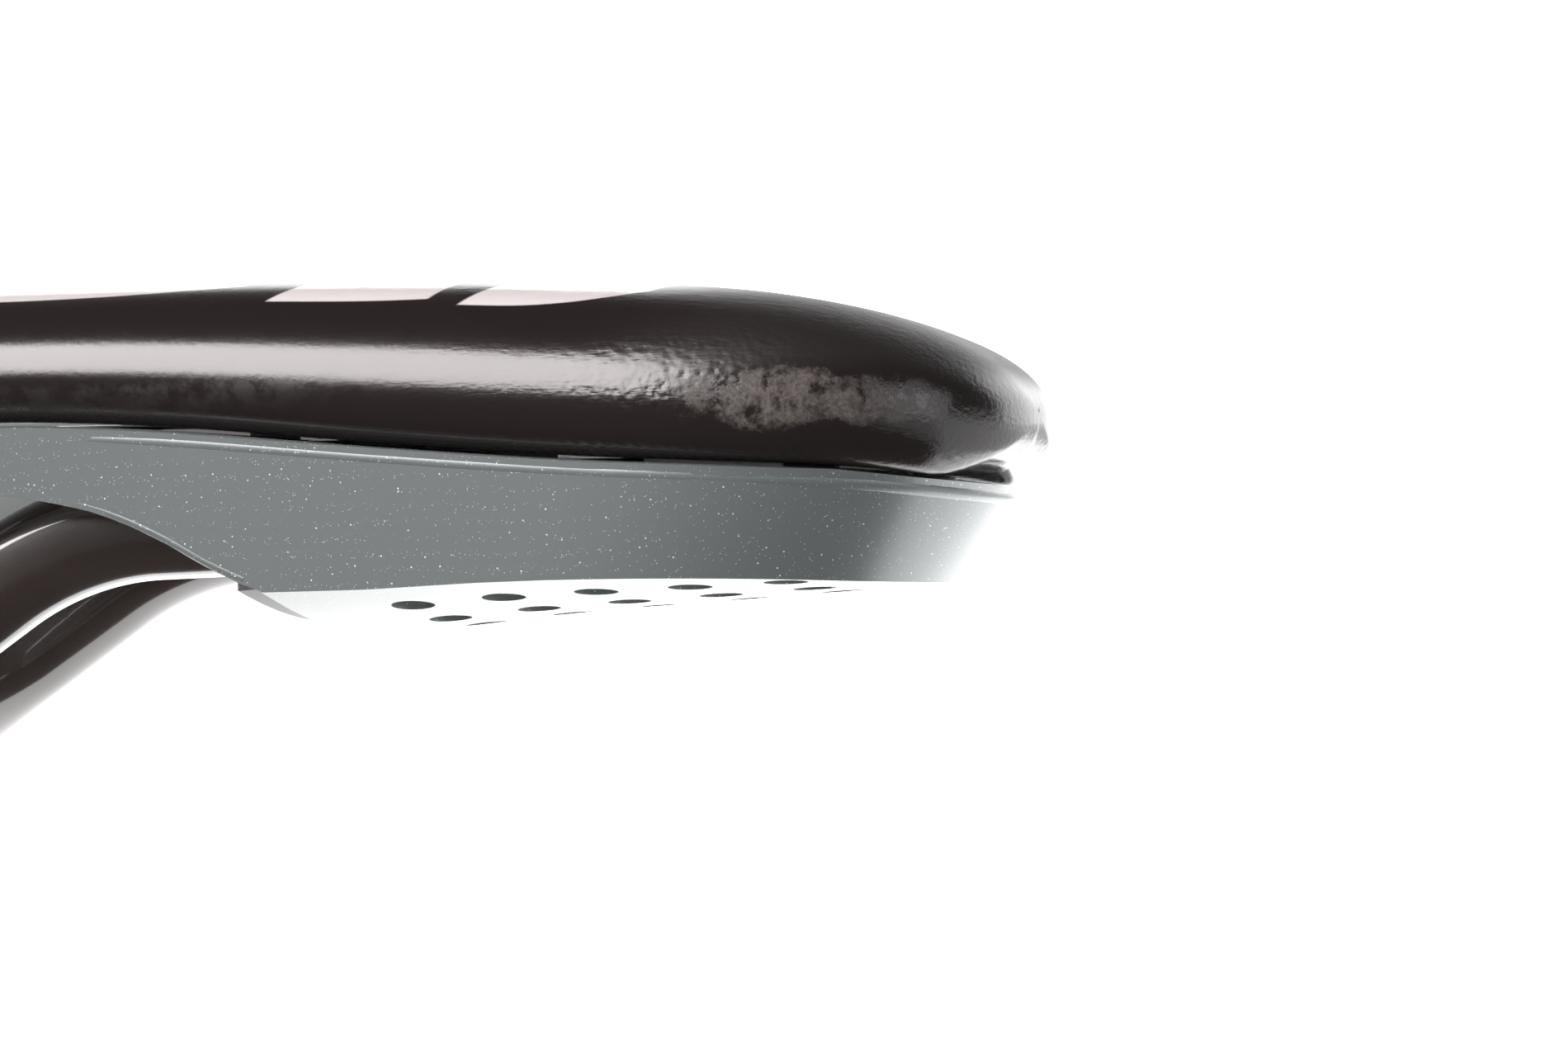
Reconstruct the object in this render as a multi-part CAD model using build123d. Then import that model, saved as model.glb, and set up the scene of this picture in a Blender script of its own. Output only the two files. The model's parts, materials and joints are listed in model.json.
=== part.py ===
"""Bicycle saddle: a padded cover over a base shell, an under shell with a vented nose box, oval rails.

Millimetres. X points to the nose, Y to the rider's left, Z up. The origin is midway between the two
rails, at their centre height, at the middle of the straight length that a seatpost clamps.
"""

import math
import os

from build123d import *

os.makedirs("parts", exist_ok=True)

# Plan of the cover
tip_x = 160.8
tail_x = -113.5
nose_half = 25.0
seat_half = 72.0
nose_round = 27.0
tail_round = 52.0

# Soft layers
skin = 1.2
hem_width = 9.8
gap = 0.3
lip_reach = 3.4
shoulder_reach = 13.0
# Marks along half a section: a share of the width under or over the seat, or an angle at its side
section_marks = [
    *((mark, "under") for mark in (0.0, 0.5, 1.0)),
    *((mark, "lip") for mark in (60, 25)),
    *((mark, "shoulder") for mark in (0, 18, 38, 60, 90)),
    *((mark, "top") for mark in (0.5, 0.0)),
]

# Base shell under the foam
base_thick = 2.4
base_inset = 3.5
boss_radius = 5.5
boss_height = 3.4

# Under shell: a drafted wall that closes into a vented box at the nose
wall = 1.4
flange_width = 6.0
low_level = 18.0
high_level = 28.0
low_tip_x = 152.6
high_tip_x = 158.9
low_nose_half = 21.6
high_nose_half = 23.5
low_seat_half = 68.6
high_seat_half = 70.4
low_tail_x = -110.6
high_tail_x = -112.0
box_rear_x = 101.5

# Vent grid in the floor of the nose box
vent_pitch = 8.0
vent_row_pitch = 7.6
vent_count = 5
vent_radius = 1.8
vent_centre_x = 128.0

# Rails
rail_width = 7.0
rail_height = 9.5
rail_corners = [
    (114.0, 10.0, 25.2),
    (77.7, 10.0, 23.75),
    (58.0, 10.3, 10.5),
    (40.0, 22.0, 0.0),
    (-41.5, 22.0, 0.0),
    (-96.0, 29.6, 26.0),
]
rail_bends = [30.0, 22.0, 17.0, 34.0]
nose_grip_x = 98.0
socket_grip = 18.0
sleeve_thick = 0.8

# Nose block and rear sockets
block_front_x = 119.0
block_rear_x = 97.0
block_half = 17.0
block_neck_half = 14.9
socket_front_x = -80.0
socket_rear_x = -103.0
socket_inner_y = 14.5
socket_outer_y = 46.0
socket_plate = 4.5

# Fasteners
bolt_radius = 2.0
bolt_head_radius = 3.5
bolt_head_height = 2.2
bolt_grip = 3.0
bolt_reach = 4.0
hex_radius = 1.45
hex_depth = 1.4
washer_radius = 4.2
washer_thick = 0.6
insert_radius = 3.1
insert_length = 4.8
clearance = 0.15
nose_bolts_x = (102.5, 113.0)
socket_bolts = ((-90.0, 19.3), (-90.0, 41.2))
shell_screws_x = (62.0, 10.0, -42.0, -84.0)
screw_radius = 1.2
screw_head_radius = 2.1
screw_head_height = 1.4
screw_reach = 5.0
screw_inset = 5.2

# Staples that hold the hem
staple_length = 6.0
staple_wire = 0.6
staple_leg = 2.6
staple_inset = 8.7
staple_pitch = 22.0

# Height of the cover's lower edge, which the under shell's rim follows
rim_stations = [
    (170, 25.0), (159, 26.2), (150, 27.4), (140, 28.0), (128, 28.6), (112, 29.8), (93, 31.4),
    (78, 32.0), (50, 31.6), (20, 30.0), (-20, 27.6), (-60, 26.4), (-90, 28.2), (-120, 31.5),
]
# Rise of the base shell's centre line over its edges
arch_stations = [
    (170, 0.8), (100, 0.8), (50, 1.5), (0, 4.0), (-50, 8.5), (-88, 8.0), (-108, 3.0), (-120, 1.0),
]
# Height of the seat's centre line
crest_stations = [
    (170, 42.6), (151, 42.7), (140, 43.0), (128, 43.6), (115, 44.3), (91, 45.0), (60, 45.2),
    (20, 44.2), (-20, 43.6), (-60, 45.4), (-95, 49.2), (-120, 50.5),
]
# Fall from the centre line to the sides
crown_stations = [(170, 1.0), (150, 1.5), (100, 1.8), (50, 3.0), (0, 4.6), (-60, 7.4), (-120, 7.4)]
# Keel of the nose box, and the rise of its floor from the keel to the sides
keel_stations = [
    (170, 20.4), (152.6, 18.9), (144, 18.3), (136, 17.7), (120, 16.5), (112, 15.6), (103.5, 14.7),
    (90, 13.4),
]
floor_rise_stations = [
    (170, 0.2), (152.6, 0.5), (144, 1.0), (128, 1.8), (112, 2.6), (103.5, 3.3), (90, 3.9),
]
# Lower edge of the side walls behind the nose box
edge_stations = [
    (101.5, 18.2), (97.0, 20.1), (93.3, 22.1), (89.5, 23.8), (85.7, 25.0), (78.0, 26.1), (50, 25.6),
    (20, 24.0), (-20, 21.6), (-60, 20.4), (-90, 22.2), (-120, 26.0),
]


def smooth(t):
    """0 to 1 with no slope at either end."""
    t = min(1.0, max(0.0, t))
    return t * t * (3 - 2 * t)


def along(stations, x):
    """A smooth value at x, from (x, value) stations listed from the nose to the tail."""
    if x >= stations[0][0]:
        return stations[0][1]
    for i in range(len(stations) - 1):
        (x0, v0), (x1, v1) = stations[i], stations[i + 1]
        if x >= x1:
            ahead = stations[max(i - 1, 0)]
            behind = stations[min(i + 2, len(stations) - 1)]
            slope0 = (v1 - ahead[1]) / (x1 - ahead[0])
            slope1 = (behind[1] - v0) / (behind[0] - x0)
            run = x1 - x0
            t = (x - x0) / run
            ends = v0 + (v1 - v0) * smooth(t)
            return ends + run * (slope0 * t * (1 - t) ** 2 - slope1 * t * t * (1 - t))
    return stations[-1][1]


def seat_width(x, nose=nose_half, seat=seat_half):
    """Half width along the saddle, before its ends are rounded."""
    return nose + (seat - nose) * smooth((tip_x - x - 78) / 160) ** 1.25


def rounded_width(x, front, rear, nose, seat):
    """Half width with rounded ends."""
    width = seat_width(x, nose, seat)
    width *= max(0.0, 1 - max(0.0, 1 - (front - x) / nose_round) ** 2.5) ** (1 / 2.3)
    return width * max(0.0, 1 - max(0.0, 1 - (x - rear) / tail_round) ** 2.3) ** (1 / 2.2)


def cover_width(x, inset):
    """Half width of the cover's plan, taken in by inset."""
    return rounded_width(x, tip_x - inset, tail_x + inset, nose_half - inset, seat_half - inset)


def outline(front, rear, nose, seat, level=0.0, inset=0.0, count=30):
    """Closed plan outline at a level, set inwards by inset."""
    right = [(front, 0.0)]
    for i in range(1, count):
        x = (front + rear) / 2 + (front - rear) / 2 * math.cos(math.pi * i / count)
        right.append((x, -rounded_width(x, front, rear, nose, seat)))
    right.append((rear, 0.0))
    moved = [(front - inset, 0.0)]
    for before, here, after in zip(right, right[1:], right[2:]):
        run, rise = after[0] - before[0], after[1] - before[1]
        size = math.hypot(run, rise)
        moved.append((here[0] + inset * rise / size, here[1] - inset * run / size))
    moved.append((rear + inset, 0.0))
    ring = moved + [(x, -y) for x, y in reversed(moved[1:-1])]
    return Wire([Edge.make_spline([Vector(x, y, level) for x, y in ring], periodic=True)])


def plan_prism(inset, low=0, high=80):
    """An upright prism on the cover's plan, taken in by inset."""
    face = Face(outline(tip_x, tail_x, nose_half, seat_half, low, inset))
    return Solid.extrude(face, Vector(0, 0, high - low))


def below(height, lift=0.0):
    """Everything under a height field."""
    grid = [
        [Vector(x, y, height(x, y) + lift) for y in range(-90, 91, 15)]
        for x in (*range(-125, 85, 10), *range(85, 176, 6))
    ]
    surface = Face.make_surface_from_array_of_points(grid, tol=0.02)
    return Solid.extrude(surface, Vector(0, 0, -120))


def across(x, y):
    """Place across the seat: 0 on the centre line, 1 at the side."""
    return min(1.2, abs(y) / seat_width(x))


def top_height(x, y):
    return along(crest_stations, x) - along(crown_stations, x) * across(x, y) ** 2


def rim_height(x, y):
    return along(rim_stations, x) + along(arch_stations, x) * (1 - across(x, y) ** 2)


def base_foot(x, y):
    """Height of the base shell's underside."""
    return rim_height(x, y) + skin + gap


def floor_height(x, y):
    share = min(1.4, abs(y) / low_nose_half)
    return along(keel_stations, x) + along(floor_rise_stations, x) * share**1.6


def end_close(distance, reach, power=2.0):
    """0 at an end and 1 from reach onwards, round in between."""
    return max(0.0, 1 - max(0.0, 1 - distance / reach) ** power) ** (1 / power)


def half_section(x, inset, hem):
    """Points of the right half of the cover's section at x, from the hem's edge to the crest."""
    front, rear = tip_x - inset, tail_x + inset
    width = cover_width(x, 0.0) - inset
    lip = min(lip_reach - 0.8 * inset, width * 0.3)
    shoulder = min(shoulder_reach + max(0.0, width - 26) * 0.25, width * 0.62)
    top_close = end_close(front - x, 27.0, 1.9) * end_close(x - rear, 20.0)
    low_close = end_close(front - x, 5.0) * end_close(x - rear, 6.0)
    points = []
    for mark, part in section_marks:
        angle = math.radians(mark)
        if part == "under":
            y, rise = hem + (width - lip - hem) * mark, -1.0
        elif part == "lip":
            y, rise = width - lip * (1 - math.cos(angle)), -math.sin(angle)
        elif part == "shoulder":
            y, rise = width - shoulder * (1 - math.cos(angle) ** 0.95), math.sin(angle) ** 0.92
        else:
            y, rise = (width - shoulder) * mark, 1.0
        low, high = rim_height(x, y) + inset, top_height(x, y) - inset
        middle = low + (high - low) * 0.36
        reach = (high - middle) * top_close if rise > 0 else (middle - low) * low_close
        points.append((y, middle + rise * reach))
    return points


def section_curve(x, half):
    """A smooth curve across the seat through half a section and its mirror image."""
    right = [Vector(x, -y, z) for y, z in half]
    left = [Vector(x, y, z) for y, z in reversed(half[:-1])]
    return Edge.make_spline(right + left)


def ring_of(first, second):
    """A closed wire from two curves across the seat, joined by straight lines at their ends."""
    joins = [Edge.make_line(first.position_at(t), second.position_at(t)) for t in (0, 1)]
    return Wire([first, joins[1], second, joins[0]])


def stations_between(front, rear, count):
    """Stations along X, closer together at both ends."""
    middle, reach = (front + rear) / 2, (front - rear) / 2
    return [middle + reach * math.cos(math.pi * i / count) for i in range(count + 1)]


def make_cover():
    """The cover's skin over the seat, with its hem turned in under the base shell."""
    sections = []
    for x in stations_between(tip_x - 0.15, tail_x + 0.15, 44):
        width = cover_width(x, 0.0)
        hem = max(cover_width(x, hem_width), min(0.4, width * 0.1))
        thick = min(skin, width * 0.25)
        outer = section_curve(x, half_section(x, 0.0, hem))
        inner = section_curve(x, half_section(x, thick, hem))
        sections.append(ring_of(outer, inner))
    return Solid.make_loft(sections, ruled=True)


def make_foam():
    """Foam between the base shell and the cover, with a pocket for each boss."""
    sections = []
    lift = skin + 2 * gap + base_thick
    for x in stations_between(tip_x - 6, tail_x + 6, 36):
        marked = zip(half_section(x, skin + gap, 0.4), section_marks)
        half = [place for place, mark in marked if mark[1] in ("shoulder", "top")]
        half = [(y, max(z, rim_height(x, y) + lift + 0.8)) for y, z in half]
        spread = [half[0][0] * share for share in (1.0, 0.75, 0.5, 0.25, 0.0)]
        floor = [(y, rim_height(x, y) + lift) for y in spread]
        sections.append(ring_of(section_curve(x, floor), section_curve(x, half)))
    foam = Solid.make_loft(sections, ruled=True)
    for x, y in bolt_places():
        foot = base_foot(x, y)
        foam -= rod(x, y, foot - 3, foot + base_thick + boss_height + gap, boss_radius + gap)
    return one(foam)


def drafted(inset):
    """The under shell's tapering sides as a solid."""
    levels = []
    for level in (6.0, 46.0):
        share = (level - low_level) / (high_level - low_level)
        size = [
            low + (high - low) * share
            for low, high in (
                (low_tip_x, high_tip_x),
                (low_tail_x, high_tail_x),
                (low_nose_half, high_nose_half),
                (low_seat_half, high_seat_half),
            )
        ]
        levels.append(outline(*size, level, inset))
    return Solid.make_loft(levels, ruled=True)


def one(shape):
    """The largest solid of a shape."""
    return max(shape.solids(), key=lambda s: s.volume)


def rod(x, y, low, high, radius):
    """An upright cylinder between two heights."""
    return Pos(x, y, low) * Cylinder(radius, high - low, align=(Align.CENTER, Align.CENTER, Align.MIN))


def block(low, high):
    """A box between two corners."""
    size = [b - a for a, b in zip(low, high)]
    return Pos(*low) * Box(*size, align=(Align.MIN, Align.MIN, Align.MIN))


def edge_places(inset, pitch):
    """Places along the right side of the cover's edge, with the edge's heading at each."""
    edge = outline(tip_x, tail_x, nose_half, seat_half, 0, inset).edges()[0]
    count = int(edge.length / 2 / pitch)
    places = []
    for i in range(count):
        t = (i + 0.5) / count / 2
        point, heading = edge.position_at(t), edge.tangent_at(t)
        places.append((point.X, point.Y, math.degrees(math.atan2(heading.Y, heading.X))))
    return places


def bolt_places():
    """Every bolt that comes up into the base shell, as x, y."""
    places = [(x, 0.0) for x in nose_bolts_x]
    for side in (-1, 1):
        places += [(x, side * y) for x, y in socket_bolts]
    return places


def screw_places():
    """Small screws that hold the under shell's flange, as x, y."""
    places = []
    for x in shell_screws_x:
        nearest = min(edge_places(screw_inset, 1.5), key=lambda p: abs(p[0] - x))
        places += [(nearest[0], nearest[1]), (nearest[0], -nearest[1])]
    return places


def screw_seat(x, y):
    """Highest level at which a small screw's head clears the flange above it."""
    levels = []
    for degrees in range(0, 360, 45):
        angle = math.radians(degrees)
        edge_x = x + screw_head_radius * math.cos(angle)
        edge_y = y + screw_head_radius * math.sin(angle)
        levels.append(rim_height(edge_x, edge_y))
    return min(levels) - gap - wall - 0.1


def bolt_seat(x, y):
    """Level of the face that a bolt's washer bears on."""
    return base_foot(x, y) - gap - bolt_grip


# Rails
def bent_path(corners, bends):
    """A wire of straight lines and arcs through corners."""
    points = [Vector(*corner) for corner in corners]
    edges = []
    start = points[0]
    for before, corner, after, radius in zip(points, points[1:], points[2:], bends):
        back, ahead = (before - corner).normalized(), (after - corner).normalized()
        half_turn = (math.pi - back.get_angle(ahead) * math.pi / 180) / 2
        setback = radius * math.tan(half_turn)
        middle = corner + (back + ahead).normalized() * (math.hypot(radius, setback) - radius)
        edges.append(Edge.make_line(start, corner + back * setback))
        edges.append(Edge.make_three_point_arc(corner + back * setback, middle, corner + ahead * setback))
        start = corner + ahead * setback
    edges.append(Edge.make_line(start, points[-1]))
    return Wire(edges)


def rail_face(origin, heading, grow):
    """The rail's oval section across a heading, with its long axis upright."""
    up = (Vector(0, 0, 1) - heading * heading.Z).normalized()
    plane = Plane(origin=origin, x_dir=up, z_dir=heading)
    return plane * SlotOverall(rail_height + 2 * grow, rail_width + 2 * grow).face()


def rail(side):
    """One rail, lofted upright along its path, with flat sides where the clamp holds it."""
    path = bent_path([(x, side * y, z) for x, y, z in rail_corners], rail_bends)
    places = []
    for edge in path.edges():
        steps = 1 if edge.geom_type == GeomType.LINE else 10
        places += [(edge, i / steps) for i in range(steps)]
    places.append((path.edges()[-1], 1.0))
    sections = [rail_face(edge.position_at(t), edge.tangent_at(t), 0.0).outer_wire() for edge, t in places]
    return Solid.make_loft(sections, ruled=True)


def rail_end(start, stop, length, grow):
    """A straight bar in line with a rail's last length, from its end back, grown by grow."""
    stop, start = Vector(*stop), Vector(*start)
    heading = (start - stop).normalized()
    return Solid.extrude(rail_face(stop, heading, grow), heading * length)


def end_bar(side, at_nose, length, grow, past=0.0):
    """The rail's straight end at the nose or at the rear, longer by past at its tip."""
    corners = [(x, side * y, z) for x, y, z in rail_corners]
    start, stop = (corners[1], corners[0]) if at_nose else (corners[-2], corners[-1])
    tip = Vector(*stop) + (Vector(*stop) - Vector(*start)).normalized() * past
    return rail_end(start, tip, length + past, grow)


def rail_sleeve(side, at_nose, length):
    """A rubber sleeve around the held end of a rail."""
    return end_bar(side, at_nose, length, sleeve_thick) - end_bar(side, at_nose, length + 5, 0.0, 5.0)


# Fasteners
def bolt(x, y):
    """A hex socket bolt that points up, its head under the washer."""
    seat = bolt_seat(x, y) - washer_thick
    shank_top = base_foot(x, y) + bolt_reach
    body = rod(x, y, seat - bolt_head_height, seat, bolt_head_radius)
    body += rod(x, y, seat, shank_top, bolt_radius)
    drive = RegularPolygon(hex_radius, 6)
    return body - Pos(x, y, seat - bolt_head_height) * extrude(drive, hex_depth)


def washer(x, y):
    seat = bolt_seat(x, y)
    disc = rod(x, y, seat - washer_thick, seat, washer_radius)
    return disc - rod(x, y, seat - 1, seat + 1, bolt_radius + clearance)


def insert(x, y):
    """A threaded brass insert set into a boss of the base shell."""
    foot = base_foot(x, y)
    body = rod(x, y, foot, foot + insert_length, insert_radius)
    return body - rod(x, y, foot - 1, foot + insert_length + 1, bolt_radius)


def shell_screw(x, y):
    seat = screw_seat(x, y)
    body = rod(x, y, seat - screw_head_height, seat, screw_head_radius)
    body += rod(x, y, seat, seat + screw_reach, screw_radius)
    return body - rod(x, y, seat - screw_head_height - 1, seat - screw_head_height + 0.7, 0.7)


def staple(x, y, heading):
    """A staple pressed up through the hem, its crown standing a little proud below it."""
    half, thick = staple_length / 2, staple_wire / 2
    crown = block((-half, -thick, -0.2), (half, thick, staple_wire - 0.2))
    leg = block((0, -thick, -0.2), (staple_wire, thick, staple_leg))
    body = crown + Pos(-half, 0, 0) * leg + Pos(half - staple_wire, 0, 0) * leg
    return Pos(x, y, rim_height(x, y)) * Rot(0, 0, heading) * body


def staples():
    """Staples on both sides of the hem."""
    group = []
    for x, y, heading in edge_places(staple_inset, staple_pitch):
        group += [staple(x, y, heading), staple(x, -y, -heading)]
    return group


# Main bodies
def make_base_shell():
    """The thin arched shell under the foam, with a boss for each insert."""
    floor = below(rim_height, skin + gap)
    shell = (plan_prism(base_inset) & below(rim_height, skin + gap + base_thick)) - floor
    for x, y in bolt_places():
        foot = base_foot(x, y)
        shell += rod(x, y, foot - 3, foot + base_thick + boss_height, boss_radius) - floor
    for x, y in bolt_places():
        foot = base_foot(x, y)
        shell -= rod(x, y, foot - 5, foot + insert_length + 0.3, insert_radius)
    for x, y in screw_places():
        seat = screw_seat(x, y)
        shell -= rod(x, y, seat, seat + screw_reach + 0.2, screw_radius)
    return one(shell)


def make_under_shell():
    """Drafted walls with a flange at the rim, closed by a vented floor at the nose."""
    floor = below(floor_height)
    edge = Spline(*[(x, z) for x, z in edge_stations])
    ends = Polyline(edge_stations[-1], (-125, -10), (box_rear_x, -10), edge_stations[0])
    profile = Plane.XZ * make_face([edge, ends])
    cutter = extrude(profile, 100, both=True)
    shell = (drafted(0.0) & below(rim_height, -gap)) - floor - cutter
    cavity = (drafted(wall) & below(rim_height, -gap - wall)) - below(floor_height, wall)
    mouth = drafted(flange_width)
    shell = shell - cavity - (mouth & block((-130, -90, 24), (170, 90, 60)))
    middle = (vent_count - 1) / 2
    for i in range(vent_count):
        for j in range(vent_count):
            x = vent_centre_x + (i - middle) * vent_pitch
            y = (j - middle) * vent_row_pitch
            shell -= rod(x, y, 5, 23, vent_radius)
    for x, y in screw_places():
        seat = screw_seat(x, y)
        shell -= rod(x, y, seat - 1, seat + 6, screw_radius + clearance)
    return one(shell)


def make_nose_block():
    """The block in the nose that holds both rails and bolts up to the base shell."""
    foot = block((block_rear_x, -block_half, 12), (block_front_x, block_half, 60))
    neck = block((block_rear_x, -block_neck_half, 20), (block_front_x, block_neck_half, 60))
    body = (foot & below(rim_height, -2 * gap - wall)) + (neck & below(rim_height, skin))
    body -= below(floor_height, wall + gap)
    for side in (-1, 1):
        body -= end_bar(side, True, 40.0, sleeve_thick)
    for x in nose_bolts_x:
        seat = bolt_seat(x, 0)
        body -= rod(x, 0, 5, seat, washer_radius + clearance)
        body -= rod(x, 0, 5, 60, bolt_radius + clearance)
    return one(body)


def make_socket(side):
    """The rear socket: a plate under the base shell with a tower that holds the rail's end."""
    ceiling = below(rim_height, skin)
    inner, outer = sorted((side * socket_inner_y, side * socket_outer_y))
    plate = block((socket_rear_x, inner, 20), (socket_front_x, outer, 60)) & ceiling
    plate -= below(rim_height, skin - socket_plate)
    grip = end_bar(side, False, socket_grip, 3.4, 3.0)
    low, high = sorted((side * 24.0, side * 35.2))
    tower = block((socket_rear_x + 2, low, 24), (socket_front_x - 1, high, 60)) & ceiling
    body = plate + grip + tower
    body -= end_bar(side, False, socket_grip + 20, sleeve_thick)
    for x, y in socket_bolts:
        seat = bolt_seat(x, side * y)
        body -= rod(x, side * y, 5, seat, washer_radius + clearance)
        body -= rod(x, side * y, 5, 60, bolt_radius + clearance)
    return one(body & ceiling)


def save(name, shape):
    """Writes one node."""
    bodies = shape if isinstance(shape, list) else [shape]
    if len(bodies) > 1:
        result = Compound(children=[one(body) for body in bodies])
    else:
        result = bodies[0]
    export_step(result, f"parts/{name}.step")
    volume = round(sum(body.volume for body in result.solids()))
    print(name, len(result.solids()), volume, result.is_valid, flush=True)


def main():
    save("cover", make_cover())
    save("foam_padding", make_foam())
    save("base_shell", make_base_shell())
    save("under_shell", make_under_shell())
    for side, name in ((1, "left"), (-1, "right")):
        save(f"rail_{name}", rail(side))
        save(f"nose_sleeve_{name}", rail_sleeve(side, True, rail_corners[0][0] - nose_grip_x))
        save(f"rear_sleeve_{name}", rail_sleeve(side, False, socket_grip))
        save(f"rear_socket_{name}", make_socket(side))
    save("nose_block", make_nose_block())
    places = bolt_places()
    save("nose_bolts", [bolt(x, y) for x, y in places[:2]])
    save("socket_bolts", [bolt(x, y) for x, y in places[2:]])
    save("bolt_washers", [washer(x, y) for x, y in places])
    save("threaded_inserts", [insert(x, y) for x, y in places])
    save("shell_screws", [shell_screw(x, y) for x, y in screw_places()])
    save("hem_staples", staples())


if __name__ == "__main__":
    main()
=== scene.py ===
import json
import math
import bmesh
import bpy
from mathutils import Matrix, Vector


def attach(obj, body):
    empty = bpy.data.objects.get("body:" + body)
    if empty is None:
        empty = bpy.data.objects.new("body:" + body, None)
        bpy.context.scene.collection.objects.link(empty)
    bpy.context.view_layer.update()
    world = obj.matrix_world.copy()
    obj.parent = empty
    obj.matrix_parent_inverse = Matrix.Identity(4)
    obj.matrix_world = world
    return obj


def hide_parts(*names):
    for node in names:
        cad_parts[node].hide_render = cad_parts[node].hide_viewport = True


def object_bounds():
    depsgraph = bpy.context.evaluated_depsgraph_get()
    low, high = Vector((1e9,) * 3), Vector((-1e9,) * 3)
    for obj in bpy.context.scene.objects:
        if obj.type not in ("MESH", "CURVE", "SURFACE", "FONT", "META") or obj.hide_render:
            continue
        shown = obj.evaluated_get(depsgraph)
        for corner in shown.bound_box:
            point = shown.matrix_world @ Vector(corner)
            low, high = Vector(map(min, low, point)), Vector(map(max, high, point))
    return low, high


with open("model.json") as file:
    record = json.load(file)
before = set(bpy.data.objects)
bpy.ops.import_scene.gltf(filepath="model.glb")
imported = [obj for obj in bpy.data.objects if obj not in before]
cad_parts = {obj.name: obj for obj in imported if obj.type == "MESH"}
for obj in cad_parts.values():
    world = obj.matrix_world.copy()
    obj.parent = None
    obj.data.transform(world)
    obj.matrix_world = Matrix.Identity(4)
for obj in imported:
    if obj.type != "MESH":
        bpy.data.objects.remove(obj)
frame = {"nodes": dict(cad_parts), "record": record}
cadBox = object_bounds()
nodes = frame["nodes"]
mm = 0.001
print("stage: frame loaded")

# ---------------------------------------------------------------- camera
cameraSet = {"place": (224.1, -262.26, 15.96), "azimuth": 18.0, "pitch": 1.67, "lens": 75.8, "sensor": 36.0}


def makeCamera(values):
    data = bpy.data.cameras.new("camera")
    data.lens = values["lens"]
    data.sensor_width = values["sensor"]
    data.clip_start = 0.01
    data.clip_end = 20
    data.dof.use_dof = False
    camera = bpy.data.objects.new("camera", data)
    camera.location = [c * mm for c in values["place"]]
    camera.rotation_euler = (math.radians(90 + values["pitch"]), 0, math.radians(values["azimuth"]))
    bpy.context.scene.collection.objects.link(camera)
    bpy.context.scene.camera = camera


makeCamera(cameraSet)


# ---------------------------------------------------------------- shader helpers
class Sock:
    # a node socket that can be used in plain arithmetic
    def __init__(self, tree, socket):
        self.tree = tree
        self.socket = socket

    def node(self, kind, inputs=(), out=0, **settings):
        new = self.tree.nodes.new(kind)
        for name, value in settings.items():
            setattr(new, name, value)
        for key, value in dict(inputs).items():
            target = new.inputs[key]
            if isinstance(value, Sock):
                self.tree.links.new(value.socket, target)
            else:
                target.default_value = value
        return Sock(self.tree, new.outputs[out])

    def math(self, operation, other=None):
        inputs = {0: self}
        if other is not None:
            inputs[1] = other
        return self.node("ShaderNodeMath", inputs, operation=operation)

    def __add__(self, other):
        return self.math("ADD", other)

    __radd__ = __add__

    def __mul__(self, other):
        return self.math("MULTIPLY", other)

    __rmul__ = __mul__

    def __sub__(self, other):
        return self.math("SUBTRACT", other)

    def __rsub__(self, other):
        return (self * -1.0) + other

    def size(self):
        return self.math("ABSOLUTE")

    def least(self, other):
        return self.math("MINIMUM", other)

    def most(self, other):
        return self.math("MAXIMUM", other)

    def ramp(self, low, high):
        # 0 below low, 1 above high, smooth between
        return self.node(
            "ShaderNodeMapRange",
            {"Value": self, "From Min": low, "From Max": high},
            interpolation_type="SMOOTHSTEP",
        )


def newMaterial(name):
    # a material, its main shader node, and a socket for the place in millimetres
    material = bpy.data.materials.new(name)
    material.use_nodes = True
    tree = material.node_tree
    shader = next(n for n in tree.nodes if n.type == "BSDF_PRINCIPLED")
    coords = tree.nodes.new("ShaderNodeTexCoord")
    place = Sock(tree, coords.outputs["Object"])
    scaled = place.node("ShaderNodeVectorMath", {0: place, "Scale": 1000.0}, operation="SCALE")
    return material, shader, scaled


def feed(shader, **values):
    names = {
        "color": "Base Color",
        "rough": "Roughness",
        "metal": "Metallic",
        "coat": "Coat Weight",
        "coatRough": "Coat Roughness",
        "specular": "Specular IOR Level",
        "normal": "Normal",
    }
    for key, value in values.items():
        target = shader.inputs[names[key]]
        if isinstance(value, Sock):
            value.tree.links.new(value.socket, target)
        else:
            target.default_value = value


def mixColor(low, high, factor):
    return factor.node("ShaderNodeMix", {"Factor": factor, "A": low, "B": high}, out=2, data_type="RGBA")


def noise(place, scale, detail=3.0, rough=0.5, stretch=None):
    if stretch:
        place = place.node("ShaderNodeVectorMath", {0: place, 1: stretch}, operation="MULTIPLY")
    return place.node(
        "ShaderNodeTexNoise", {"Vector": place, "Scale": scale, "Detail": detail, "Roughness": rough}
    )


def cells(place, scale, feature="F1", out="Distance"):
    new = place.node("ShaderNodeTexVoronoi", {"Vector": place, "Scale": scale}, feature=feature)
    return Sock(new.tree, new.socket.node.outputs[out])


def bump(height, strength, distance):
    return height.node("ShaderNodeBump", {"Height": height, "Strength": strength, "Distance": distance})


def axes(place):
    split = place.node("ShaderNodeSeparateXYZ", {0: place})
    outputs = split.socket.node.outputs
    return [Sock(place.tree, outputs[i]) for i in range(3)]


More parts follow.
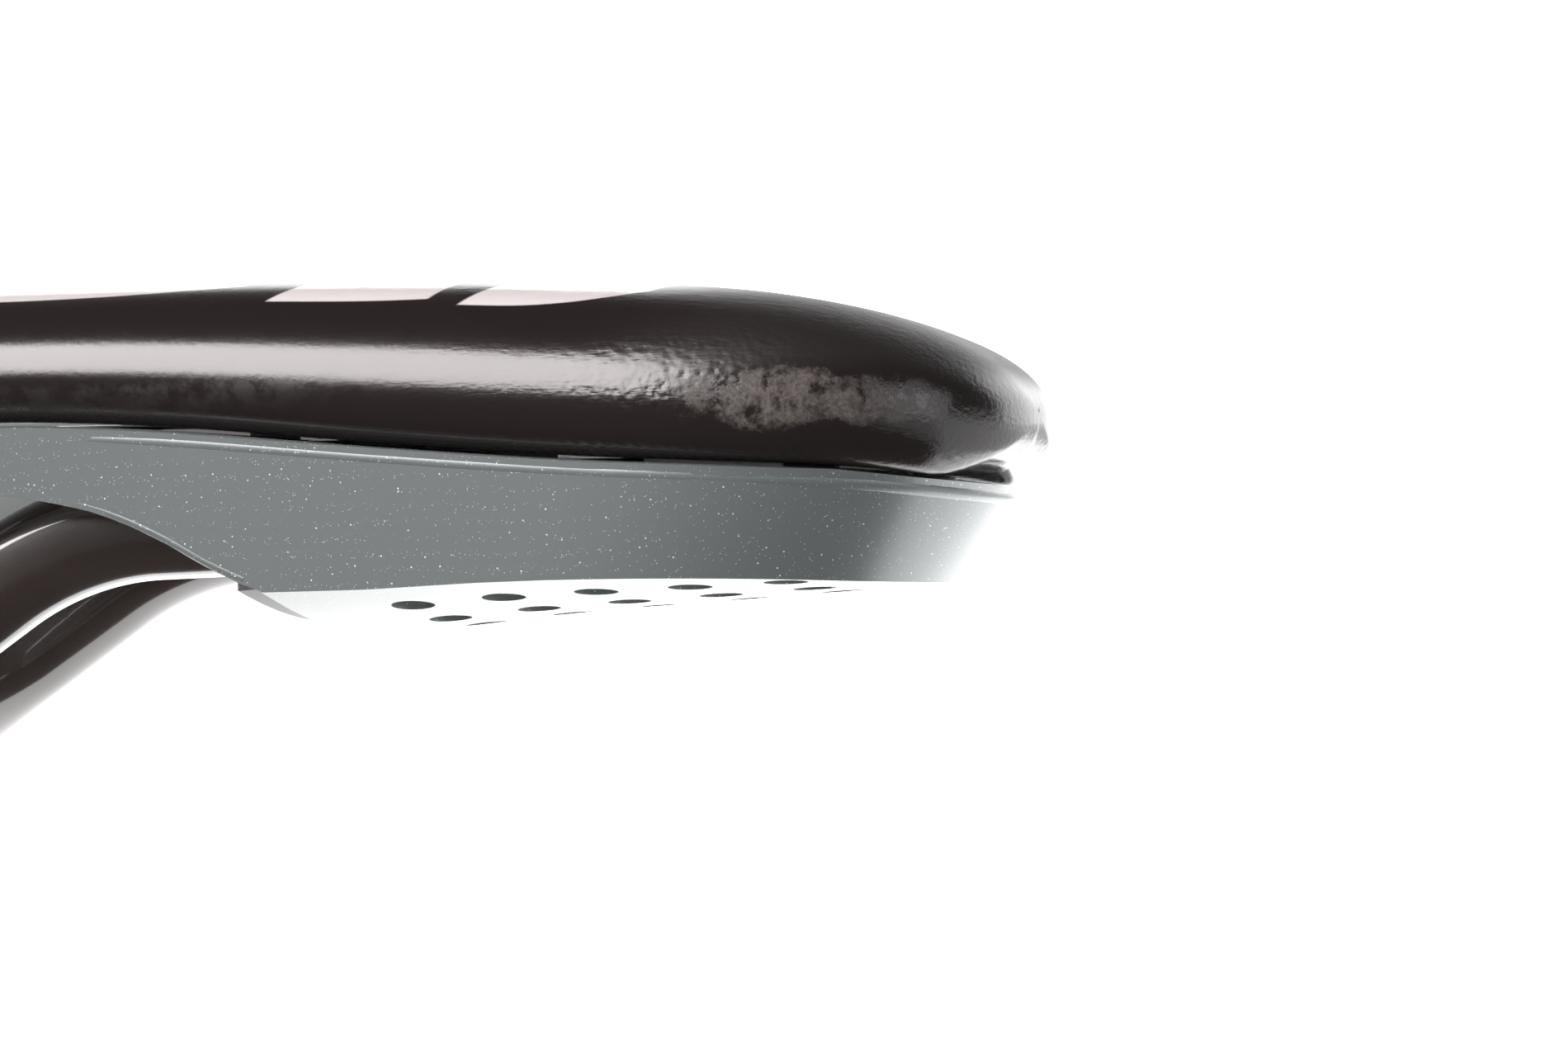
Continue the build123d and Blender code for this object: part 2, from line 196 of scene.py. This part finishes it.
# ---------------------------------------------------------------- leather
leatherSet = {
    "color": (0.0105, 0.0075, 0.0073, 1),
    "rough": 0.2,
    "printRough": 0.07,
    "printColor": (0.52, 0.49, 0.49, 1),
    "wornColor": (0.075, 0.06, 0.053, 1),
    "wornRough": 0.62,
    "wornPlace": (147.2, 32.9),
    "wornReach": (9.0, 2.3),
    "crownRough": 0.3,
    "mottledRough": 0.3,
}
# printed wedges on the top, in millimetres: rear end, front end, reach to the side at each end
prints = [
    (118.0, 133.5, 20.9, 17.0), (101.0, 115.5, 20.7, 20.1), (70.0, 97.8, 19.9, 17.2),
    (36.0, 64.0, 22.0, 17.0), (0.0, 29.0, 27.0, 20.0), (-40.0, -8.0, 36.0, 26.0),
]
printSet = {"rearSlant": 0.45, "frontSlant": 0.3, "innerShare": 0.5}


def printMask(x, side, values):
    # wedges on both sides that narrow towards the nose, with slanted ends
    rearSlant, frontSlant = values["rearSlant"], values["frontSlant"]
    mask = None
    for rear, front, wide, narrow in prints:
        share = (x - rear) * (1 / (front - rear))
        reach = share * share * share * (narrow - wide) + wide
        patch = (reach - side).ramp(0.0, 0.25)
        patch = patch * (x + side * rearSlant - rear - wide * rearSlant).ramp(0.0, 0.4)
        patch = patch * (front + narrow * frontSlant - x - side * frontSlant).ramp(0.0, 0.4)
        patch = patch * (side - wide * values["innerShare"]).ramp(0.0, 0.25)
        mask = patch if mask is None else mask.most(patch)
    return mask


def wornMask(x, z, place, values):
    # rubbed patch on the side of the nose, ragged at its rim and broken up inside
    ragged = noise(place, 0.3, 6.0, 0.75) - 0.5
    middle, reach = values["wornPlace"], values["wornReach"]
    forward = (x - middle[0] + ragged * 10.0) * (1 / reach[0])
    up = (z - middle[1] + ragged * 4.5) * (1 / reach[1])
    patch = 1.0 - (forward * forward + (up * up) * (up * up)).ramp(0.2, 1.3)
    return patch * noise(place, 0.55, 4.0, 0.7).ramp(0.34, 0.58)


def leatherHeight(x, z, place, worn, speckle, crown):
    # fine grain, creases towards the nose, pebbles before the rubbed patch, and pleats near the hem
    nose = x.ramp(100.0, 150.0)
    grain = cells(place, 2.2, "SMOOTH_F1")
    fine = noise(place, 4.0, 4.0, 0.6)
    crease = noise(place, 1.5, 3.0, 0.6, (0.3, 1.0, 1.6))
    pebbleZone = x.ramp(124.0, 138.0) * (1.0 - x.ramp(143.0, 151.0))
    pebbleZone = pebbleZone * z.ramp(30.0, 32.0) * (1.0 - z.ramp(37.0, 39.0))
    pebbles = cells(place, 1.5, "SMOOTH_F1")
    pleatZone = (1.0 - z.ramp(28.9, 30.6)) * noise(place, 0.12, 2.0).ramp(0.45, 0.6) * x.ramp(40.0, 90.0)
    pleats = ((x * 5.2 + z * 3.4 + noise(place, 0.8, 2.0) * 3.0).math("SINE")) * pleatZone
    height = grain * 0.16 + fine * 0.2 + crease * (0.1 + nose * 0.9)
    height = height + pebbles * pebbleZone * 1.5 + pleats * 0.55
    height = height + worn * speckle * 0.8
    streaks = noise(place, 1.0, 4.0, 0.65, (0.5, 1.4, 2.6))
    return height + crown * streaks * 1.3


def leather(values):
    material, shader, place = newMaterial("leather")
    x, y, z = axes(place)
    mask = printMask(x, y.size(), printSet)
    worn = wornMask(x, z, place, values)
    speckle = noise(place, 3.2, 5.0, 0.75).ramp(0.38, 0.62)
    # the top of the nose is duller and streaked, and a strip low on the side is mottled
    crown = x.ramp(128.0, 146.0) * z.ramp(33.8, 36.8)
    mottled = (1.0 - x.ramp(94.0, 116.0)) * z.ramp(32.0, 33.4) * (1.0 - z.ramp(34.4, 35.4))
    height = leatherHeight(x, z, place, worn, speckle, crown)
    tone = mixColor(values["color"], values["printColor"], mask)
    tone = mixColor(tone, values["wornColor"], worn * (0.3 + speckle * 0.7))
    rough = values["rough"] + noise(place, 0.5, 3.0) * 0.06 - 0.03
    rough = rough + mask * (values["printRough"] - values["rough"])
    rough = rough + worn * (values["wornRough"] - values["rough"])
    rough = rough + crown * (1.0 - mask) * values["crownRough"]
    rough = rough + mottled * noise(place, 0.5, 4.0, 0.7).ramp(0.35, 0.6) * values["mottledRough"]
    feed(shader, color=tone, rough=rough, normal=bump(height, 0.2, 0.0002), specular=0.55)
    return material


# ---------------------------------------------------------------- hard materials
shellSet = {
    "color": (0.115, 0.13, 0.131, 1),
    # pale dots are real flakes, with painted sparkle highlights
    "paintedSparkleFlake": (0.75, 0.8, 0.8, 1),
    # paler colour of the inward-facing faces is painted light
    "inside": (0.5, 0.51, 0.51, 1),
    "rough": 0.42,
    "coat": 0.5,
    "lineEnds": (-60.0, 130.0),
}
railSet = {"color": (0.014, 0.010, 0.009, 1), "paler": (0.03, 0.022, 0.019, 1), "rough": 0.22, "coat": 1.0}


def paintedSparkleFlakes(place, scale, low, high, colorAxis, pickLow, pickHigh):
    # small dots at the middles of some cells: metallic flakes, their brightness partly a painted sparkle
    # highlight
    dots = 1.0 - cells(place, scale).ramp(low, high)
    return dots * axes(cells(place, scale, out="Color"))[colorAxis].ramp(pickLow, pickHigh)


def inwardPaintedLightMask(place, values):
    # 1 on faces that look towards the saddle's middle line; these get a paler colour as painted light
    x, y, _ = axes(place)
    facingX, facingY, _ = axes(place.node("ShaderNodeNewGeometry", out="Normal"))
    rear, front = values["lineEnds"]
    fromLine = x - x.least(front).most(rear)
    return 1.0 - (fromLine * facingX + y * facingY).ramp(-3.0, -1.0)


def flakeShell(values):
    material, shader, place = newMaterial("flakeShell")
    large = paintedSparkleFlakes(place, 1.6, 0.05, 0.14, 0, 0.3, 0.8)
    small = paintedSparkleFlakes(place, 4.2, 0.08, 0.2, 1, 0.4, 0.9)
    # pale flake dots mixed into the base colour: real flakes, with painted sparkle highlights
    tone = mixColor(values["color"], values["paintedSparkleFlake"], large.most(small * 0.8))
    # inward-facing faces get a paler colour: painted light on the shaded inner faces of the skirt
    tone = mixColor(tone, values["inside"], inwardPaintedLightMask(place, values))
    feed(
        shader,
        color=tone,
        rough=values["rough"],
        metal=0.35,
        coat=values["coat"],
        coatRough=0.3,
        normal=bump(noise(place, 2.5, 3.0), 0.05, 0.0001),
    )
    return material


def glossRail(values):
    material, shader, place = newMaterial("glossRail")
    tone = mixColor(values["color"], values["paler"], noise(place, 0.15, 2.0))
    feed(
        shader,
        color=tone,
        rough=values["rough"],
        coat=values["coat"],
        coatRough=0.06,
        normal=bump(noise(place, 1.2, 3.0), 0.04, 0.0001),
    )
    return material


def plain(name, color, rough, metal=0.0, grain=0.0):
    material, shader, place = newMaterial(name)
    feed(shader, color=(*color, 1), rough=rough, metal=metal)
    if grain:
        feed(shader, normal=bump(noise(place, 2.0, 3.0), grain, 0.0001))
    return material


finishes = {
    "under_shell": flakeShell(shellSet),
    "rail": glossRail(railSet),
    "base": plain("baseNylon", (0.03, 0.03, 0.032), 0.5, grain=0.1),
    "moulding": plain("mouldedNylon", (0.02, 0.02, 0.022), 0.45, grain=0.15),
    "sleeve": plain("sleeveRubber", (0.012, 0.012, 0.012), 0.7),
    "bolt": plain("blackSteel", (0.05, 0.05, 0.052), 0.35, 0.9),
    "screw": plain("screwSteel", (0.08, 0.08, 0.085), 0.35, 0.9),
    "washer": plain("washerSteel", (0.45, 0.45, 0.46), 0.3, 1.0),
    "insert": plain("insertBrass", (0.65, 0.45, 0.18), 0.35, 1.0),
    "staple": plain("stapleWire", (0.5, 0.5, 0.5), 0.35, 1.0),
}
leatherLook = leather(leatherSet)


def paintCad():
    for entry in frame["record"]["subparts"]:
        name, slot = entry["node"], entry["material_slot"]
        if slot in finishes and name in nodes:
            node = nodes[name]
            for i in range(max(1, len(node.material_slots))):
                if not node.material_slots:
                    node.data.materials.append(finishes[slot])
                node.material_slots[i].material = finishes[slot]


paintCad()
print("stage: materials")

# ---------------------------------------------------------------- seat shape, in millimetres
plan = {"tip": 160.8, "tail": -113.5, "nose": 25.0, "seat": 72.0, "noseRound": 27.0, "tailRound": 52.0}
rimLine = [
    (170, 25.0), (159, 26.2), (150, 27.4), (140, 28.0), (128, 28.6), (112, 29.8), (93, 31.4),
    (78, 32.0), (50, 31.6), (20, 30.0), (-20, 27.6), (-60, 26.4), (-90, 28.2), (-120, 31.5),
]
archLine = [
    (170, 0.8), (100, 0.8), (50, 1.5), (0, 4.0), (-50, 8.5), (-88, 8.0), (-108, 3.0), (-120, 1.0),
]
crestLine = [
    (170, 42.6), (151, 42.7), (140, 43.0), (128, 43.6), (115, 44.3), (91, 45.0), (60, 45.2),
    (20, 44.2), (-20, 43.6), (-60, 45.4), (-95, 49.2), (-120, 50.5),
]
crownLine = [(170, 1.0), (150, 1.5), (100, 1.8), (50, 3.0), (0, 4.6), (-60, 7.4), (-120, 7.4)]


def smooth(t):
    t = min(1.0, max(0.0, t))
    return t * t * (3 - 2 * t)


def along(line, x):
    # smooth value at x from (x, value) pairs listed from nose to tail
    if x >= line[0][0]:
        return line[0][1]
    for i in range(len(line) - 1):
        (x0, v0), (x1, v1) = line[i], line[i + 1]
        if x >= x1:
            ahead, behind = line[max(i - 1, 0)], line[min(i + 2, len(line) - 1)]
            slope0 = (v1 - ahead[1]) / (x1 - ahead[0])
            slope1 = (behind[1] - v0) / (behind[0] - x0)
            run = x1 - x0
            t = (x - x0) / run
            bend = slope0 * t * (1 - t) ** 2 - slope1 * t * t * (1 - t)
            return v0 + (v1 - v0) * smooth(t) + run * bend
    return line[-1][1]


def seatWidth(x, nose=plan["nose"], seat=plan["seat"]):
    return nose + (seat - nose) * smooth((plan["tip"] - x - 78) / 160) ** 1.25


def planShape(x, front, rear, nose, seat):
    # half width at x of an outline with both ends rounded
    if x >= front or x <= rear:
        return 0.0
    width = seatWidth(x, nose, seat)
    width *= (1 - max(0.0, 1 - (front - x) / plan["noseRound"]) ** 2.5) ** (1 / 2.3)
    return width * (1 - max(0.0, 1 - (x - rear) / plan["tailRound"]) ** 2.3) ** (1 / 2.2)


def planWidth(x, inset=0.0):
    front, rear = plan["tip"] - inset, plan["tail"] + inset
    return planShape(x, front, rear, plan["nose"] - inset, plan["seat"] - inset)


def crossPlace(x, y):
    return min(1.2, abs(y) / seatWidth(x))


def rimHeight(x, y):
    return along(rimLine, x) + along(archLine, x) * (1 - crossPlace(x, y) ** 2)


def topHeight(x, y):
    return along(crestLine, x) - along(crownLine, x) * crossPlace(x, y) ** 2


def endClose(distance, reach, power=2.0):
    return max(0.0, 1 - max(0.0, 1 - distance / reach) ** power) ** (1 / power)


# ---------------------------------------------------------------- cover
coverSet = {
    "stations": 330,
    "lip": 4.2,
    "shoulder": 13.0,
    "hem": 9.8,
    "thick": 1.2,
    "middle": 0.36,
    "noseLift": 0.9,
    "steps": {"under": 8, "lip": 14, "shoulder": 26, "top": 16},
}


def coverHeights(x, y, values):
    # the cover's lower face, its widest level and its top at a place
    low, high = rimHeight(x, y), topHeight(x, y)
    middle = low + (high - low) * values["middle"]
    low += values["noseLift"] * smooth((x - 155.0) / 4.0)
    topClose = endClose(plan["tip"] - x, 27.0, 1.9) * endClose(x - plan["tail"], 20.0)
    lowClose = endClose(plan["tip"] - x, 5.0) * endClose(x - plan["tail"], 6.0)
    return middle + (low - middle) * lowClose, middle, middle + (high - middle) * topClose


def coverSection(x, values):
    # points of one section from the right hem edge over the top to the left hem edge
    width = planWidth(x)
    shoulder = min(values["shoulder"] + max(0.0, width - 26) * 0.25, width * 0.62)
    lip = min(values["lip"], width * 0.3)
    start = min(planWidth(x, values["hem"]), width - lip)
    steps = values["steps"]
    half = []
    for i in range(steps["under"]):
        y = start + (width - lip - start) * i / steps["under"]
        half.append((y, coverHeights(x, y, values)[0]))
    for i in range(steps["lip"]):
        angle = math.pi / 2 * (1 - i / steps["lip"])
        y = width - lip * (1 - math.cos(angle))
        low, middle, high = coverHeights(x, y, values)
        half.append((y, middle + (low - middle) * math.sin(angle)))
    for i in range(steps["shoulder"]):
        angle = math.pi / 2 * i / steps["shoulder"]
        y = width - shoulder * (1 - math.cos(angle) ** 0.95)
        low, middle, high = coverHeights(x, y, values)
        half.append((y, middle + (high - middle) * math.sin(angle) ** 0.92))
    for i in range(steps["top"] + 1):
        y = (width - shoulder) * (1 - i / steps["top"])
        half.append((y, coverHeights(x, y, values)[2]))
    right = [(-y, z) for y, z in half]
    left = [(y, z) for y, z in reversed(half[:-1])]
    return right + left


def meshObject(name, vertices, faces, material):
    mesh = bpy.data.meshes.new(name)
    mesh.from_pydata([[c * mm for c in v] for v in vertices], [], faces)
    mesh.materials.append(material)
    mesh.update()
    mesh.polygons.foreach_set("use_smooth", [True] * len(mesh.polygons))
    piece = bpy.data.objects.new(name, mesh)
    bpy.context.scene.collection.objects.link(piece)
    return piece


def tidyMesh(piece, distance=0.00002):
    # joins doubled points and turns every face outwards
    shape = bmesh.new()
    shape.from_mesh(piece.data)
    bmesh.ops.remove_doubles(shape, verts=shape.verts, dist=distance)
    bmesh.ops.dissolve_degenerate(shape, edges=shape.edges, dist=distance / 2)
    bmesh.ops.recalc_face_normals(shape, faces=shape.faces)
    shape.to_mesh(piece.data)
    shape.free()


def makeCover(values):
    # closer stations at both ends, where the plan turns fast
    count = values["stations"]
    vertices, faces = [], []
    for i in range(count + 1):
        t = 0.5 - 0.5 * math.cos(math.pi * (0.004 + 0.992 * i / count))
        x = plan["tip"] + (plan["tail"] - plan["tip"]) * t
        section = coverSection(x, values)
        inner = [(section[0][0], section[0][1] + values["thick"])]
        outer = [(section[-1][0], section[-1][1] + values["thick"])]
        vertices += [(x, y, z) for y, z in inner + section + outer]
    row = len(vertices) // (count + 1)
    for i in range(count):
        for j in range(row - 1):
            a = i * row + j
            faces.append((a, a + 1, a + row + 1, a + row))
    faces.append(tuple(range(row)))
    faces.append(tuple(reversed(range(count * row, (count + 1) * row))))
    piece = meshObject("saddleCover", vertices, faces, leatherLook)
    tidyMesh(piece)
    return piece


cover = makeCover(coverSet)
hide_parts("cover", "foam_padding")
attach(cover, "root")
print("stage: cover", len(cover.data.polygons))


# ---------------------------------------------------------------- rails
railPlan = {
    "corners": [
        (114.0, 10.0, 25.2), (77.7, 10.0, 23.75), (58.0, 10.3, 10.5),
        (40.0, 22.0, 0.0), (-41.5, 22.0, 0.0), (-96.0, 29.6, 26.0),
    ],
    "bends": [30.0, 22.0, 17.0, 34.0],
    "halfWide": 3.5,
    "halfTall": 4.75,
    "around": 64,
}


def railPath(corners, bends, arcSteps=24, runStep=2.0):
    # places and headings along straight runs joined by arcs
    points = [Vector(c) for c in corners]
    path = []

    def run(start, stop):
        steps = max(1, int((stop - start).length / runStep))
        heading = (stop - start).normalized()
        path.extend((start.lerp(stop, i / steps), heading) for i in range(steps))

    start = points[0]
    for before, corner, after, radius in zip(points, points[1:], points[2:], bends):
        back, ahead = (before - corner).normalized(), (after - corner).normalized()
        halfTurn = (math.pi - back.angle(ahead)) / 2
        setback = radius * math.tan(halfTurn)
        first, last = corner + back * setback, corner + ahead * setback
        middle = corner + (back + ahead).normalized() * math.hypot(radius, setback)
        run(start, first)
        axis = (first - middle).cross(last - middle).normalized()
        for i in range(arcSteps):
            turn = Matrix.Rotation(2 * halfTurn * i / arcSteps, 3, axis)
            path.append((middle + turn @ (first - middle), turn @ -back))
        start = last
    run(start, points[-1])
    path.append((points[-1], (points[-1] - start).normalized()))
    return path


def railSection(values):
    # flat sides joined by half rounds, as offsets sideways and up
    count = values["around"]
    radius, straight = values["halfWide"], values["halfTall"] - values["halfWide"]
    points = []
    for i in range(count):
        angle = 2 * math.pi * (i + 0.5) / count
        lift = straight if math.sin(angle) > 0 else -straight
        points.append((radius * math.cos(angle), radius * math.sin(angle) + lift))
    return points


def makeRail(side, name):
    path = railPath([(x, side * y, z) for x, y, z in railPlan["corners"]], railPlan["bends"])
    section = railSection(railPlan)
    vertices, faces = [], []
    for place, heading in path:
        up = (Vector((0, 0, 1)) - heading * heading.z).normalized()
        across = up.cross(heading)
        vertices += [tuple(place + across * u + up * v) for u, v in section]
    row = len(section)
    for i in range(len(path) - 1):
        for j in range(row):
            k = (j + 1) % row
            faces.append((i * row + j, i * row + k, (i + 1) * row + k, (i + 1) * row + j))
    faces.append(tuple(range(row)))
    faces.append(tuple(reversed(range((len(path) - 1) * row, len(path) * row))))
    piece = meshObject(name + "Gloss", vertices, faces, finishes["rail"])
    tidyMesh(piece)
    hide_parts(name)
    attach(piece, "root")


for side, name in ((1, "rail_left"), (-1, "rail_right")):
    makeRail(side, name)
print("stage: rails")

# ---------------------------------------------------------------- rounded edges of the under shell
edgeLine = [
    (101.5, 18.2), (97.0, 20.1), (93.3, 22.1), (89.5, 23.8), (85.7, 25.0), (78.0, 26.1), (50, 25.6),
    (20, 24.0), (-20, 21.6), (-60, 20.4), (-90, 22.2), (-120, 26.0),
]
rimSet = {
    "radius": 0.85, "proud": 0.06, "gap": 0.3, "sides": 14,
    "edgeRadius": 0.5, "edgeProud": 0.05, "edgeFront": 101.0, "edgeSides": 10,
    "steps": 260, "settle": 4,
}
# the drafted side at its low level, and how much each size grows up to its high level
draftSet = {
    "low": 18.0, "height": 10.0,
    "front": (152.6, 6.3), "rear": (-110.6, -1.4), "nose": (21.6, 1.9), "seat": (68.6, 1.8),
}


def shellPlace(t, level, inset):
    # a place on the under shell's drafted side, t from 0 at the nose to 1 at the tail
    share = (level - draftSet["low"]) / draftSet["height"]
    sizes = [draftSet[name][0] + draftSet[name][1] * share for name in ("front", "rear", "nose", "seat")]
    front, rear, nose, seat = sizes[0] - inset, sizes[1] + inset, sizes[2] - inset, sizes[3] - inset
    x = front + (rear - front) * (0.5 - 0.5 * math.cos(math.pi * t))
    return x, planShape(x, front, rear, nose, seat)


def pipeTree(material):
    # Geometry Nodes: a round bar along the edges of a mesh
    tree = bpy.data.node_groups.new("roundBar", "GeometryNodeTree")
    face = tree.interface
    face.new_socket("Path", in_out="INPUT", socket_type="NodeSocketGeometry")
    face.new_socket("Radius", in_out="INPUT", socket_type="NodeSocketFloat")
    face.new_socket("Sides", in_out="INPUT", socket_type="NodeSocketInt")
    face.new_socket("Bar", in_out="OUTPUT", socket_type="NodeSocketGeometry")
    given, result = tree.nodes.new("NodeGroupInput"), tree.nodes.new("NodeGroupOutput")
    curve = tree.nodes.new("GeometryNodeMeshToCurve")
    ring = tree.nodes.new("GeometryNodeCurvePrimitiveCircle")
    sweep = tree.nodes.new("GeometryNodeCurveToMesh")
    shade = tree.nodes.new("GeometryNodeSetShadeSmooth")
    real = tree.nodes.new("GeometryNodeRealizeInstances")
    paint = tree.nodes.new("GeometryNodeSetMaterial")
    sweep.inputs["Fill Caps"].default_value = True
    paint.inputs["Material"].default_value = material
    for start, end in (
        (given.outputs["Path"], curve.inputs["Mesh"]),
        (given.outputs["Radius"], ring.inputs["Radius"]),
        (given.outputs["Sides"], ring.inputs["Resolution"]),
        (curve.outputs["Curve"], sweep.inputs["Curve"]),
        (ring.outputs["Curve"], sweep.inputs["Profile Curve"]),
        (sweep.outputs["Mesh"], shade.inputs[0]),
        (shade.outputs[0], real.inputs[0]),
        (real.outputs[0], paint.inputs["Geometry"]),
        (paint.outputs["Geometry"], result.inputs["Bar"]),
    ):
        tree.links.new(start, end)
    return tree


def roundBar(name, path, radius, closed, tree, sides):
    mesh = bpy.data.meshes.new(name + "Path")
    count = len(path)
    edges = [(i, (i + 1) % count) for i in range(count if closed else count - 1)]
    mesh.from_pydata([tuple(p * mm) for p in path], edges, [])
    piece = bpy.data.objects.new(name, mesh)
    bpy.context.scene.collection.objects.link(piece)
    modifier = piece.modifiers.new("bar", "NODES")
    modifier.node_group = tree
    sizes = {"Radius": radius * mm, "Sides": sides}
    for item in tree.interface.items_tree:
        if item.in_out == "INPUT" and item.name in sizes:
            modifier[item.identifier] = sizes[item.name]
    drawn = piece.evaluated_get(bpy.context.evaluated_depsgraph_get())
    result = bpy.data.meshes.new_from_object(drawn)
    piece.modifiers.clear()
    piece.data = result
    tidyMesh(piece)
    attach(piece, "root")


def mirrored(path):
    return [Vector((p.x, -p.y, p.z)) for p in reversed(path)]


def rimPath(values):
    right = []
    inset = values["radius"] - values["proud"]
    for i in range(values["steps"] + 1):
        level = 28.0
        for _ in range(values["settle"]):
            x, y = shellPlace(i / values["steps"], level, inset)
            level = rimHeight(x, y) - values["gap"] - inset
        right.append(Vector((x, -y, level)))
    return right + mirrored(right[1:-1])


def lowerEdgePath(values):
    right = []
    inset = values["edgeRadius"] - values["edgeProud"]
    for i in range(values["steps"] + 1):
        level = 24.0
        for _ in range(values["settle"]):
            x, y = shellPlace(i / values["steps"], level, inset)
            level = along(edgeLine, x) + inset
        if x < values["edgeFront"]:
            right.append(Vector((x, -y, level)))
    return right + mirrored(right[:-1])


barTree = pipeTree(finishes["under_shell"])
roundBar("shellRim", rimPath(rimSet), rimSet["radius"], True, barTree, rimSet["sides"])
roundBar("shellLowerEdge", lowerEdgePath(rimSet), rimSet["edgeRadius"], False, barTree, rimSet["edgeSides"])
print("stage: edges")

# ---------------------------------------------------------------- floor, backdrop and light
lightSet = {
    "back": 2.8,
    "floorFront": 1.3,
    "floorRight": 0.65,
    "floorBack": 3.4,
    "floorFar": 1.4,
    "world": 0.05,
    "half": 4.0,
    "frontSplit": 0.24,
    "backSplit": 0.2,
    "wallTop": 3.0,
    "aim": (0.1, 0.0, 0.03),
}


def glow(name, strength):
    material = bpy.data.materials.new(name)
    material.use_nodes = True
    tree = material.node_tree
    tree.nodes.clear()
    emission = tree.nodes.new("ShaderNodeEmission")
    emission.inputs["Color"].default_value = (1, 1, 1, 1)
    emission.inputs["Strength"].default_value = strength
    output = tree.nodes.new("ShaderNodeOutputMaterial")
    tree.links.new(emission.outputs[0], output.inputs["Surface"])
    return material


def stagePlane(name, corners, material):
    mesh = bpy.data.meshes.new(name)
    mesh.from_pydata(corners, [], [(0, 1, 2, 3)])
    mesh.materials.append(material)
    piece = bpy.data.objects.new(name, mesh)
    bpy.context.scene.collection.objects.link(piece)
    return piece


floorLevel = cadBox[0][2] - 0.0001


def floorPatch(name, low, high):
    corners = [(low[0], low[1]), (high[0], low[1]), (high[0], high[1]), (low[0], high[1])]
    return stagePlane(name, [(x, y, floorLevel) for x, y in corners], glow(name + "Glow", lightSet[name]))


half = lightSet["half"]
# the floor in front of the object lights it but is kept out of its reflections
floorFront = floorPatch("floorFront", (-half, -half), (lightSet["frontSplit"], 0.0))
floorFront.visible_glossy = False
floorPatch("floorRight", (lightSet["frontSplit"], -half), (half, 0.0))
floorPatch("floorBack", (-half, 0.0), (lightSet["backSplit"], half))
floorPatch("floorFar", (lightSet["backSplit"], 0.0), (half, half))
wall = [(-half, floorLevel), (half, floorLevel), (half, lightSet["wallTop"]), (-half, lightSet["wallTop"])]
stagePlane("backdrop", [(x, half, z) for x, z in wall], glow("backdropGlow", lightSet["back"]))


def areaLight(name, place, size, power, color):
    data = bpy.data.lights.new(name, "AREA")
    data.shape = "RECTANGLE"
    data.size, data.size_y = size
    data.energy = power
    data.color = color
    light = bpy.data.objects.new(name, data)
    light.location = place
    heading = Vector(lightSet["aim"]) - Vector(place)
    light.rotation_euler = heading.to_track_quat("-Z", "Y").to_euler()
    bpy.context.scene.collection.objects.link(light)


areaLight("softbox", (-0.49, -0.84, 0.595), (0.97, 0.9), 38.0, (1.0, 0.955, 0.95))
areaLight("noseFill", (1.1, -0.2, 0.2), (0.6, 0.6), 3.0, (0.97, 0.97, 1.0))


def makeWorld(strength):
    world = bpy.data.worlds.new("studio")
    world.use_nodes = True
    background = world.node_tree.nodes["Background"]
    background.inputs["Color"].default_value = (1, 1, 1, 1)
    background.inputs["Strength"].default_value = strength
    bpy.context.scene.world = world


makeWorld(lightSet["world"])
bpy.context.scene.view_settings.view_transform = "Standard"
print("stage: light")
